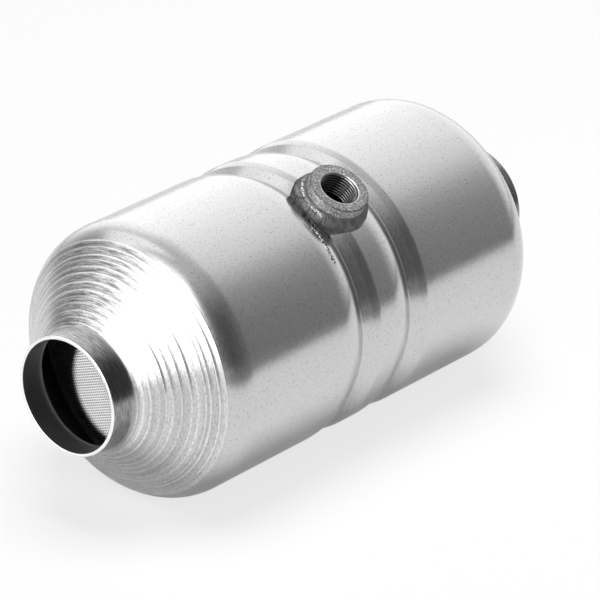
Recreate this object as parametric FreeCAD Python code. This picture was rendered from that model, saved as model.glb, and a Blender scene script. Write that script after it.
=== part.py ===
"""Catalytic converter with one spun shell, two ceramic bricks in mats, and a welded sensor boss.

Lengths are millimetres. X runs along the gas flow from the centre of the inlet mouth, Z is up.
"""
import FreeCAD, Part
import math
import os

# Shell: one tube, spun down to a neck at each end
overall_length = 279.4
body_radius = 63.5
wall = 1.6
neck_radius = 27.4
neck_length = 9.2
neck_fillet = 5.0
cone_angle = 50.0
shoulder_radius = 18.5

# Scallops that the spinning roller leaves round each cone
scallop_pitch = 3.3
scallop_depth = 0.25

# Largest turn between neighbouring chords of a round that is drawn with chords
chord_angle = 28.0

# Two grooves rolled round the body, each with a long front lip and a shorter rear lip
front_groove_x = 129.3
groove_spacing = 32.6
groove_depth = 4.8
front_lip_radius = 38.0
rear_lip_radius = 15.0
groove_root_radius = 2.5

# Bricks of square channels, and the mats that hold them in the shell
mat_thickness = 2.7
mat_set_back = 5.0
brick_groove_gap = 0.5
brick_shoulder_overrun = 2.0
brick_skin = 2.5
channel_pitch = 9.8
channel_wall = 1.4
channel_turn = -20.5

# Threaded boss for the oxygen sensor, set through the band between the grooves
boss_from_groove = 8.7
boss_tilt = 30.0
boss_radius = 14.0
boss_height = 7.9
boss_edge_chamfer = 0.6
spigot_radius = 11.9
spigot_clearance = 0.1
spigot_reach = 2.0
thread_minor_radius = 8.19
thread_mouth_radius = 9.25

# Fillet weld round the boss
weld_leg = 3.3
weld_height = 3.6
weld_bulge = 0.45

# Places worked out from the sizes above
rear_groove_x = front_groove_x + groove_spacing
bore_radius = neck_radius - wall
inner_radius = body_radius - wall
brick_radius = inner_radius - mat_thickness
slope = math.radians(cone_angle)
cone_start_x = neck_length + neck_fillet * math.sin(slope)
cone_start_radius = neck_radius + neck_fillet * (1 - math.cos(slope))
cone_end_radius = body_radius - shoulder_radius * (1 - math.cos(slope))
cone_end_x = cone_start_x + (cone_end_radius - cone_start_radius) / math.tan(slope)
shoulder_end_x = cone_end_x + shoulder_radius * math.sin(slope)
front_lip_angle = math.acos(1 - groove_depth / (front_lip_radius + groove_root_radius))
front_lip_width = (front_lip_radius + groove_root_radius) * math.sin(front_lip_angle)
rear_lip_angle = math.acos(1 - groove_depth / (rear_lip_radius + groove_root_radius))
rear_lip_width = (rear_lip_radius + groove_root_radius) * math.sin(rear_lip_angle)
boss_x = front_groove_x + boss_from_groove
boss_axis = FreeCAD.Vector(0, -math.sin(math.radians(boss_tilt)), math.cos(math.radians(boss_tilt)))
flow_axis = FreeCAD.Vector(1, 0, 0)
origin = FreeCAD.Vector(0, 0, 0)


def at(x, radius):
    """Point of a profile: x along the flow, radius above the axis."""
    return FreeCAD.Vector(x, 0, radius)


def line(start, end):
    """Straight edge between two points."""
    return Part.LineSegment(start, end).toShape()


def plain_line(start, end):
    """The same as a list, in place of a row of hollows."""
    return [line(start, end)]


def arc_about(centre, radius, start_angle, end_angle):
    """Arc in the profile's plane, its angles in radians counted from +X towards +Z."""
    angles = (start_angle, (start_angle + end_angle) / 2, end_angle)
    points = [centre + FreeCAD.Vector(math.cos(a), 0, math.sin(a)) * radius for a in angles]
    return [Part.Arc(*points).toShape()]


def chords_about(centre, radius, start_angle, end_angle):
    """The same arc as a few chords, for a round too small or too deep inside to be seen."""
    count = math.ceil(abs(end_angle - start_angle) / math.radians(chord_angle))
    angles = [start_angle + (end_angle - start_angle) * i / count for i in range(count + 1)]
    points = [centre + FreeCAD.Vector(math.cos(a), 0, math.sin(a)) * radius for a in angles]
    return [line(a, b) for a, b in zip(points, points[1:])]


def scalloped_line(start, end):
    """Row of shallow hollows from start to end, with a sharp crest between neighbours."""
    run = end - start
    count = max(1, round(run.Length / scallop_pitch))
    inward = FreeCAD.Vector(run.z, 0, -run.x).normalize() * scallop_depth
    edges = []
    for i in range(count):
        left = start + run * (i / count)
        right = start + run * ((i + 1) / count)
        hollow = (left + right) / 2 + inward
        edges += [line(left, hollow), line(hollow, right)]
    return edges


def end_profile(inset):
    """Inlet end from the neck to the straight body, inset from the outer skin."""
    fillet_centre = at(neck_length, neck_radius + neck_fillet)
    shoulder_centre = at(shoulder_end_x, body_radius - shoulder_radius)
    across = math.pi / 2
    draw_round = chords_about if inset else arc_about
    draw_cone = plain_line if inset else scalloped_line
    fillet = draw_round(fillet_centre, neck_fillet + inset, -across, slope - across)
    shoulder = draw_round(shoulder_centre, shoulder_radius - inset, slope + across, across)
    cone = draw_cone(fillet[-1].Vertexes[-1].Point, shoulder[0].Vertexes[0].Point)
    return fillet + cone + shoulder


def groove_profile(groove_x, inset):
    """Rolled groove: a long front lip, a tight root and a shorter rear lip."""
    across = math.pi / 2
    root = groove_root_radius + inset
    front_lip = at(groove_x - front_lip_width, body_radius - front_lip_radius)
    rear_lip = at(groove_x + rear_lip_width, body_radius - rear_lip_radius)
    root_centre = at(groove_x, body_radius - groove_depth + groove_root_radius)
    draw_lip = chords_about if inset else arc_about
    return (
        draw_lip(front_lip, front_lip_radius - inset, across, across - front_lip_angle)
        + chords_about(root_centre, root, -across - front_lip_angle, rear_lip_angle - across)
        + draw_lip(rear_lip, rear_lip_radius - inset, across + rear_lip_angle, across)
    )


def mirrored(edges):
    """Edges of the outlet end: those of the inlet end seen in the middle of the length."""
    middle = at(overall_length / 2, 0)
    return [edge.mirror(middle, flow_axis) for edge in edges]


def skin_profile(inset):
    """Whole profile between the necks, inset from the outer skin."""
    radius = body_radius - inset
    inlet_end = end_profile(inset)
    front_start = at(shoulder_end_x, radius)
    front_end = at(front_groove_x - front_lip_width, radius)
    band_start = at(front_groove_x + rear_lip_width, radius)
    band_end = at(rear_groove_x - front_lip_width, radius)
    rear_start = at(rear_groove_x + rear_lip_width, radius)
    rear_end = at(overall_length - shoulder_end_x, radius)
    return (
        inlet_end
        + [line(front_start, front_end)]
        + groove_profile(front_groove_x, inset)
        + [line(band_start, band_end)]
        + groove_profile(rear_groove_x, inset)
        + [line(rear_start, rear_end)]
        + mirrored(inlet_end)
    )


def neck_profile():
    """Neck from the inner fillet round the mouth's rim to the outer fillet, at the inlet end."""
    corners = [
        at(neck_length, bore_radius),
        at(0, bore_radius),
        at(0, neck_radius),
        at(neck_length, neck_radius),
    ]
    return [line(a, b) for a, b in zip(corners, corners[1:])]


def revolved(edges, base, axis):
    """Solid swept by a closed profile once round an axis."""
    wire = Part.Wire(Part.__sortEdges__(edges))
    return Part.Face(wire).revolve(base, axis, 360)


def boss_cylinder(radius, low, high):
    """Cylinder on the boss's axis between two distances from the flow axis."""
    base = FreeCAD.Vector(boss_x, 0, 0) + boss_axis * low
    return Part.makeCylinder(radius, high - low, base, boss_axis)


def on_boss_axis(radius, height):
    """Point beside the boss's axis, at a height above the flow axis."""
    return FreeCAD.Vector(boss_x + radius, 0, 0) + boss_axis * height


def shell():
    """Spun tube with its ends, cones and grooves in one piece, and the hole for the boss."""
    edges = skin_profile(0) + skin_profile(wall) + neck_profile() + mirrored(neck_profile())
    body = revolved(edges, origin, flow_axis)
    hole = boss_cylinder(spigot_radius + spigot_clearance, 0, body_radius + boss_height)
    return body.cut(hole)


def shell_outside():
    """Shell's outer form as a full solid, which trims what sits on it."""
    ends = [
        line(at(0, 0), at(0, neck_radius)),
        line(at(0, neck_radius), at(neck_length, neck_radius)),
    ]
    closing = line(at(0, 0), at(overall_length, 0))
    return revolved(skin_profile(0) + ends + mirrored(ends) + [closing], origin, flow_axis)


def channel_places():
    """Centres of the channels that fit whole inside the brick's skin."""
    reach = int(brick_radius / channel_pitch) + 1
    limit = brick_radius - brick_skin
    half = (channel_pitch - channel_wall) / 2
    places = []
    for row in range(-reach, reach + 1):
        for column in range(-reach, reach + 1):
            y = column * channel_pitch
            z = row * channel_pitch
            if math.hypot(abs(y) + half, abs(z) + half) < limit:
                places.append((y, z))
    return places


def brick(start_x, end_x):
    """Round brick with square channels from face to face."""
    side = channel_pitch - channel_wall
    outline = Part.Wire(Part.makeCircle(brick_radius, at(start_x, 0), flow_axis))
    holes = []
    for y, z in channel_places():
        corners = [(-side / 2, -side / 2), (side / 2, -side / 2), (side / 2, side / 2), (-side / 2, side / 2)]
        points = [FreeCAD.Vector(start_x, y + dy, z + dz) for dy, dz in corners]
        holes.append(Part.makePolygon(points + points[:1]))
    face = Part.makeFace([outline] + holes, "Part::FaceMakerBullseye")
    block = face.extrude(flow_axis * (end_x - start_x)).Solids[0]
    return block.rotate(origin, flow_axis, channel_turn)


def mat(start_x, end_x):
    """Fibre mat wrapped round a brick, filling the gap to the shell."""
    length = end_x - start_x
    outside = Part.makeCylinder(inner_radius, length, at(start_x, 0), flow_axis)
    inside = Part.makeCylinder(brick_radius, length, at(start_x, 0), flow_axis)
    return outside.cut(inside)


def sensor_boss():
    """Turned boss: a collar on the band and a spigot through the shell, with a threaded bore."""
    top = body_radius + boss_height
    seat = body_radius
    bottom = inner_radius - spigot_reach
    mouth_depth = thread_mouth_radius - thread_minor_radius
    corners = [
        on_boss_axis(thread_minor_radius, bottom),
        on_boss_axis(spigot_radius, bottom),
        on_boss_axis(spigot_radius, seat),
        on_boss_axis(boss_radius, seat),
        on_boss_axis(boss_radius, top - boss_edge_chamfer),
        on_boss_axis(boss_radius - boss_edge_chamfer, top),
        on_boss_axis(thread_mouth_radius, top),
        on_boss_axis(thread_minor_radius, top - mouth_depth),
    ]
    edges = [line(a, b) for a, b in zip(corners, corners[1:] + corners[:1])]
    return revolved(edges, FreeCAD.Vector(boss_x, 0, 0), boss_axis)


def boss_weld():
    """Bead round the collar, trimmed to the shell that it lies on."""
    corners = [
        on_boss_axis(boss_radius, body_radius + weld_height),
        on_boss_axis(boss_radius + weld_leg / 2 + weld_bulge, body_radius + weld_height / 2 + weld_bulge),
        on_boss_axis(boss_radius + weld_leg, body_radius),
        on_boss_axis(boss_radius + weld_leg, 0),
        on_boss_axis(boss_radius, 0),
    ]
    edges = [line(a, b) for a, b in zip(corners, corners[1:] + corners[:1])]
    ring = revolved(edges, FreeCAD.Vector(boss_x, 0, 0), boss_axis)
    return ring.cut(shell_outside())


front_brick_start = shoulder_end_x - brick_shoulder_overrun
front_brick_end = front_groove_x - front_lip_width - brick_groove_gap
rear_brick_start = rear_groove_x + rear_lip_width + brick_groove_gap
rear_brick_end = overall_length - front_brick_start

pieces = {
    "shell": shell(),
    "front_substrate": brick(front_brick_start, front_brick_end),
    "rear_substrate": brick(rear_brick_start, rear_brick_end),
    "front_mat": mat(front_brick_start + mat_set_back, front_brick_end - mat_set_back),
    "rear_mat": mat(rear_brick_start + mat_set_back, rear_brick_end - mat_set_back),
    "sensor_boss": sensor_boss(),
    "boss_weld": boss_weld(),
}

os.makedirs("parts", exist_ok=True)
for name, shape in pieces.items():
    if len(shape.Solids) != 1 or not shape.isValid():
        raise RuntimeError(f"{name} is not one valid solid")
    shape.Solids[0].exportStep(f"parts/{name}.step")
    print(f"{name}: {shape.Volume / 1000:.1f} cm3")
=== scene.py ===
"""Looks of a catalytic converter: spun shell, fine bricks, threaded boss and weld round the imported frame.

Lengths are metres. X runs along the gas flow from the inlet's mouth, and Z is up.
"""
import logging
import math
import random
from collections.abc import Iterator
from contextlib import contextmanager
from dataclasses import dataclass
from enum import Enum

import bpy
from mathutils import Matrix, Vector, noise


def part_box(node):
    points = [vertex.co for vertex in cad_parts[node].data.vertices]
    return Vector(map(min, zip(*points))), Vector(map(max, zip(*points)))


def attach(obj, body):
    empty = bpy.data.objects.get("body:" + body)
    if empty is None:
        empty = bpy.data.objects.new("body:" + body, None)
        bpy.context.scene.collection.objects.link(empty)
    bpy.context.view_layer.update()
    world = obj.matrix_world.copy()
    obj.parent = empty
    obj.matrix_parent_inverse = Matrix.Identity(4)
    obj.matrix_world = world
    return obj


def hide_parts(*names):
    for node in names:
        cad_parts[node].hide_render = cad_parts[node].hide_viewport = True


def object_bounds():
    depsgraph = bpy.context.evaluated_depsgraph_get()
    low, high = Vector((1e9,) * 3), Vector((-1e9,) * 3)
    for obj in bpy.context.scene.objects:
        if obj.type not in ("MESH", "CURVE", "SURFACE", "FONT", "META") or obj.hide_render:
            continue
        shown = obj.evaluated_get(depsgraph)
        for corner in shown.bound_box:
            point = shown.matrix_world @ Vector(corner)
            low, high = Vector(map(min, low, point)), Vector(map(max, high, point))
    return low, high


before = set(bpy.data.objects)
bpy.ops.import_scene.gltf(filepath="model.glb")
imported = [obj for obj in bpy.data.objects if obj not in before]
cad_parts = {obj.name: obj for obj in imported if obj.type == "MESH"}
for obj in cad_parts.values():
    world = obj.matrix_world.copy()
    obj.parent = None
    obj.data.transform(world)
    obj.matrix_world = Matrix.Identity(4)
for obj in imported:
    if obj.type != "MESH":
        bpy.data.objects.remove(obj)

log = logging.getLogger("converter")
MM = 0.001
MERGE_GAP = 0.001 * MM
NEAR = 0.01 * MM
ROOT = "root"
CAD_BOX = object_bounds()
CREST = "crest"
FULL_TURN = 2 * math.pi

Pair = tuple[float, float]
Triple = tuple[float, float, float]
Outline = list[Pair]


class Axis(Enum):
    """Axis that an outline is spun about."""

    FLOW = (1, 0, 0)
    UPRIGHT = (0, 0, 1)


# Mesh tools


def deselect() -> None:
    """Leave edit mode and clear the selection."""
    if bpy.context.object and bpy.context.object.mode != "OBJECT":
        bpy.ops.object.mode_set(mode="OBJECT")
    bpy.ops.object.select_all(action="DESELECT")


def activate(piece: bpy.types.Object) -> None:
    """Make a piece the only selected one.

    Args:
        piece: Object that the next operators act on.
    """
    deselect()
    piece.select_set(True)
    bpy.context.view_layer.objects.active = piece


def pick(piece: bpy.types.Object, vertices: set[int]) -> None:
    """Select some vertices of a piece, for edit mode.

    Args:
        piece: Mesh object in object mode.
        vertices: Indices of the vertices to select.
    """
    mesh = piece.data
    mesh.polygons.foreach_set("select", [False] * len(mesh.polygons))
    mesh.edges.foreach_set("select", [False] * len(mesh.edges))
    mesh.vertices.foreach_set("select", [i in vertices for i in range(len(mesh.vertices))])


@contextmanager
def editing(whole: bool = True) -> Iterator[None]:
    """Edit mode on the active piece for as long as a with block runs.

    Args:
        whole: Select all of the piece first.

    Yields:
        Nothing.
    """
    bpy.ops.object.mode_set(mode="EDIT")
    if whole:
        bpy.ops.mesh.select_all(action="SELECT")
    yield
    bpy.ops.object.mode_set(mode="OBJECT")


def tidy(piece: bpy.types.Object) -> None:
    """Merge doubled vertices and turn every face outwards.

    Args:
        piece: Closed mesh object.
    """
    activate(piece)
    with editing():
        bpy.ops.mesh.remove_doubles(threshold=MERGE_GAP)
        bpy.ops.mesh.normals_make_consistent(inside=False)


def smooth(piece: bpy.types.Object, degrees: float) -> None:
    """Shade smooth, with sharp edges where faces meet at more than an angle."""
    activate(piece)
    bpy.ops.object.shade_smooth_by_angle(angle=math.radians(degrees))


def settle(piece: bpy.types.Object) -> None:
    """Put a piece's place, turn and scale into its mesh."""
    activate(piece)
    bpy.ops.object.transform_apply(location=True, rotation=True, scale=True)


def place(piece: bpy.types.Object, matrix: Matrix) -> None:
    """Carry a piece that was made about the origin to its place, in its mesh."""
    piece.matrix_world = matrix
    settle(piece)


def named(piece: bpy.types.Object, name: str) -> bpy.types.Object:
    """Name a piece and its mesh, and return the piece."""
    piece.name = piece.data.name = name
    return piece


def coat(piece: bpy.types.Object, *materials: bpy.types.Material) -> None:
    """Give a piece its finishes and no others.

    Args:
        piece: Mesh object.
        materials: Finishes, in the order of the faces' indices.
    """
    piece.data.materials.clear()
    for material in materials:
        piece.data.materials.append(material)


def store_crests(piece: bpy.types.Object, values: list[float]) -> None:
    """Store how near each vertex is to a crest, from 0 to 1, for the finish."""
    piece.data.attributes.new(CREST, "FLOAT", "POINT").data.foreach_set("value", values)


def join(name: str, pieces: list[bpy.types.Object]) -> bpy.types.Object:
    """Join meshes into the first of them.

    Args:
        name: Name of the joined piece.
        pieces: Objects to join.

    Returns:
        The joined object.
    """
    activate(pieces[0])
    for piece in pieces[1:]:
        piece.select_set(True)
    bpy.ops.object.join()
    return named(pieces[0], name)


def spun(name: str, outline: Outline, steps: int, axis: Axis = Axis.FLOW) -> bpy.types.Object:
    """Solid of revolution from an outline that is drawn point by point and then spun.

    Args:
        name: Name of the piece.
        outline: Points as (along the axis, radius). The last point repeats the first on a closed outline.
        steps: Faces round the axis.
        axis: Axis that the outline is spun about.

    Returns:
        The new mesh object.
    """
    def spot(along: float, radius: float) -> Vector:
        """Point of the outline in the plane that is spun."""
        return Vector((along, 0, radius)) if axis is Axis.FLOW else Vector((radius, 0, along))

    deselect()
    bpy.ops.mesh.primitive_plane_add(size=2 * MM, location=(0, 0, 0))
    piece = named(bpy.context.object, name)
    corner = Vector((-MM, -MM, 0))
    pick(piece, {1, 2, 3})
    with editing(whole=False):
        bpy.ops.mesh.delete(type="VERT")
        bpy.ops.mesh.select_all(action="SELECT")
        bpy.ops.transform.translate(value=spot(*outline[0]) - corner)
        for here, there in zip(outline, outline[1:]):
            step = spot(*there) - spot(*here)
            bpy.ops.mesh.extrude_region_move(TRANSFORM_OT_translate={"value": step})
        bpy.ops.mesh.select_all(action="SELECT")
        bpy.ops.mesh.spin(steps=steps, angle=FULL_TURN, center=(0, 0, 0), axis=axis.value)
    tidy(piece)
    return piece


def arc(centre: Pair, radius: float, start: float, end: float, count: int) -> Outline:
    """Points of an arc in an outline's plane.

    Args:
        centre: Place along the axis and radius of the arc's centre.
        radius: The arc's own radius.
        start: First angle in degrees, counted from along the axis towards outwards.
        end: Last angle in degrees.
        count: Number of chords.

    Returns:
        The points from start to end.
    """
    angles = [math.radians(start + (end - start) * i / count) for i in range(count + 1)]
    return [(centre[0] + radius * math.cos(a), centre[1] + radius * math.sin(a)) for a in angles]


def straight(start: Pair, end: Pair, count: int) -> Outline:
    """Evenly spaced points of a straight stretch.

    Args:
        start: First point.
        end: Last point.
        count: Number of equal steps.

    Returns:
        The points, both ends included.
    """
    run = (end[0] - start[0], end[1] - start[1])
    return [(start[0] + run[0] * i / count, start[1] + run[1] * i / count) for i in range(count + 1)]


# Shader tools


class Wire:
    """Output socket of a shader node, with arithmetic that adds nodes."""

    def __init__(self, paint: "Paint", socket: bpy.types.NodeSocket) -> None:
        """Keep the tree's builder and the socket."""
        self.paint = paint
        self.socket = socket

    def math(self, operation: str, *others: "Wire | float", turned: bool = False) -> "Wire":
        """Add a Math node.

        Args:
            operation: The node's operation.
            others: Its other inputs.
            turned: Put this socket after the first other one.

        Returns:
            The node's output.
        """
        values = [self, *others]
        if turned:
            values[0], values[1] = values[1], values[0]
        return self.paint.node("ShaderNodeMath", {"operation": operation}, dict(enumerate(values)))

    def __add__(self, other: "Wire | float") -> "Wire":
        """Sum."""
        return self.math("ADD", other)

    def __radd__(self, other: float) -> "Wire":
        """Sum with a number in front."""
        return self.math("ADD", other)

    def __sub__(self, other: "Wire | float") -> "Wire":
        """Difference."""
        return self.math("SUBTRACT", other)

    def __rsub__(self, other: float) -> "Wire":
        """Difference from a number."""
        return self.math("SUBTRACT", other, turned=True)

    def __mul__(self, other: "Wire | float") -> "Wire":
        """Product."""
        return self.math("MULTIPLY", other)

    def __rmul__(self, other: float) -> "Wire":
        """Product with a number in front."""
        return self.math("MULTIPLY", other)

    def __truediv__(self, other: "Wire | float") -> "Wire":
        """Quotient."""
        return self.math("DIVIDE", other)

    def span(self, low: float, high: float, first: float = 0.0, last: float = 1.0) -> "Wire":
        """Smooth step as the value goes from low to high.

        Args:
            low: Value where the step starts.
            high: Value where it ends.
            first: Result up to the start.
            last: Result from the end on.

        Returns:
            The result.
        """
        settings = {"interpolation_type": "SMOOTHSTEP"}
        inputs = {"Value": self, "From Min": low, "From Max": high, "To Min": first, "To Max": last}
        return self.paint.node("ShaderNodeMapRange", settings, inputs)

    def fall(self, low: float, high: float) -> "Wire":
        """Smooth step from 1 down to 0 as the value goes from low to high."""
        return self.span(low, high, 1.0, 0.0)


class Paint:
    """Node tree of one material or of the world."""

    def __init__(self, name: str, world: bpy.types.World | None = None) -> None:
        """Start with an empty tree.

        Args:
            name: The material's name.
            world: The world to paint instead of a material.
        """
        self.owner = world or bpy.data.materials.new(name)
        self.owner.use_nodes = True
        self.tree = self.owner.node_tree
        self.tree.nodes.clear()

    def node(
        self, kind: str, settings: dict | None = None, inputs: dict | None = None, output: int | str = 0
    ) -> Wire:
        """Add a node of any kind.

        Args:
            kind: The node's type.
            settings: Properties to set first. A ramp's stops are (place, grey) pairs.
            inputs: Values or wires by socket name or number.
            output: Which output is returned.

        Returns:
            The wanted output.
        """
        made = self.tree.nodes.new(kind)
        for key, value in (settings or {}).items():
            if key == "stops":
                self.set_stops(made.color_ramp, value)
            else:
                setattr(made, key, value)
        for key, value in (inputs or {}).items():
            if isinstance(value, Wire):
                self.tree.links.new(value.socket, made.inputs[key])
            else:
                made.inputs[key].default_value = value
        return Wire(self, made.outputs[output])

    @staticmethod
    def set_stops(ramp: bpy.types.ColorRamp, stops: Outline) -> None:
        """Give a ramp its grey stops.

        Args:
            ramp: The node's ramp.
            stops: Pairs of a place from 0 to 1 and a grey level.
        """
        while len(ramp.elements) > 1:
            ramp.elements.remove(ramp.elements[-1])
        for i, (spot, grey) in enumerate(stops):
            element = ramp.elements[0] if i == 0 else ramp.elements.new(spot)
            element.position = spot
            element.color = (grey, grey, grey, 1)

    def place(self) -> Wire:
        """Object coordinates."""
        return self.node("ShaderNodeTexCoord", output="Object")

    def coordinate(self, vector: Wire, name: str) -> Wire:
        """One coordinate of a vector, X, Y or Z."""
        return self.node("ShaderNodeSeparateXYZ", {}, {0: vector}, name)

    def vector(self, operation: str, *values: "Wire | tuple", output: str = "Vector") -> Wire:
        """Vector Math node on wires or fixed vectors."""
        return self.node("ShaderNodeVectorMath", {"operation": operation}, dict(enumerate(values)), output)

    def noise(
        self, vector: Wire, size: float, detail: float = 2.0, rough: float = 0.5, stretch: tuple = (1, 1, 1)
    ) -> Wire:
        """Noise from 0 to 1.

        Args:
            vector: Coordinates in metres.
            size: Width of a blotch in metres.
            detail: Finer layers.
            rough: Strength of the finer layers.
            stretch: Scale of each coordinate before the noise.

        Returns:
            The noise value.
        """
        scaled = self.vector("MULTIPLY", vector, stretch)
        inputs = {"Vector": scaled, "Scale": 1 / size, "Detail": detail, "Roughness": rough}
        return self.node("ShaderNodeTexNoise", {}, inputs)

    def spin_marks(self, vector: Wire, size: float, stretch: float, detail: float = 3.0) -> Wire:
        """Noise drawn out round the flow axis, as tool marks on a spun surface.

        Args:
            vector: Coordinates in metres.
            size: Width of a mark along the flow.
            stretch: Radius of the circle that stands for the whole way round; less is longer marks.
            detail: Finer layers.

        Returns:
            The noise value.
        """
        across = self.vector("MULTIPLY", vector, (0, 1, 1))
        around = self.vector("MULTIPLY", self.vector("NORMALIZE", across), (0, stretch, stretch))
        along = self.vector("MULTIPLY", vector, (1, 0, 0))
        inputs = {"Vector": self.vector("ADD", along, around), "Scale": 1 / size, "Detail": detail}
        return self.node("ShaderNodeTexNoise", {}, inputs)

    def grey(self, value: Wire) -> Wire:
        """Value as a neutral colour."""
        return self.node("ShaderNodeCombineColor", {}, {0: value, 1: value, 2: value})

    def tinted(self, value: Wire, tint: Triple) -> Wire:
        """Value as a shade of a colour."""
        level = self.node("ShaderNodeCombineXYZ", {}, {0: value, 1: value, 2: value})
        return self.vector("MULTIPLY", level, tint)

    def crest(self) -> Wire:
        """How near the surface is to a crest, as its mesh stores it."""
        return self.node("ShaderNodeAttribute", {"attribute_name": CREST}, {}, "Fac")

    def round_axis(self, vector: Wire, axis: Vector) -> tuple[Wire, Wire]:
        """Place beside an axis that passes through the vector's origin.

        Args:
            vector: Coordinates in metres.
            axis: Direction of the axis, with length 1.

        Returns:
            The height along the axis and the distance from it.
        """
        height = self.vector("DOT_PRODUCT", vector, tuple(axis), output="Value")
        beside = self.vector("CROSS_PRODUCT", vector, tuple(axis))
        return height, self.vector("LENGTH", beside, output="Value")

    def seen(self, camera: float, mirrored: float) -> Wire:
        """Level that depends on what looks, and is 0 for plain light.

        Args:
            camera: Level for the camera.
            mirrored: Level for mirrors and glass.

        Returns:
            The level.
        """
        level = self.node("ShaderNodeLightPath", output="Is Camera Ray") * camera
        for ray in ("Is Glossy Ray", "Is Transmission Ray"):
            level = level.math("MAXIMUM", self.node("ShaderNodeLightPath", output=ray) * mirrored)
        return level

    def glow(self, colour: "Wire | tuple") -> Wire:
        """Emission shader whose colour is also its level."""
        return self.node("ShaderNodeEmission", {}, {"Color": colour, "Strength": 1.0})

    def bump(self, height: Wire, depth: float) -> Wire:
        """Normal bumped by a height from 0 to 1, whose 1 is so many metres deep."""
        return self.node("ShaderNodeBump", {}, {"Height": height, "Distance": depth, "Strength": 1.0})

    def finish(self, colour: Wire, roughness: Wire, normal: Wire, metallic: float) -> bpy.types.Material:
        """End the tree in a Principled shader.

        Args:
            colour: Base colour.
            roughness: Roughness.
            normal: Bumped normal.
            metallic: 1 for bare metal, 0 for what isn't metal.

        Returns:
            The material.
        """
        inputs = {"Base Color": colour, "Roughness": roughness, "Normal": normal, "Metallic": metallic}
        self.lead_out(self.node("ShaderNodeBsdfPrincipled", {}, inputs, "BSDF"))
        return self.owner

    def lead_out(self, shader: Wire, kind: str = "ShaderNodeOutputMaterial") -> None:
        """Lead a shader to the tree's output."""
        out = self.tree.nodes.new(kind)
        self.tree.links.new(shader.socket, out.inputs["Surface"])


# Sizes shared by the pieces


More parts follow.
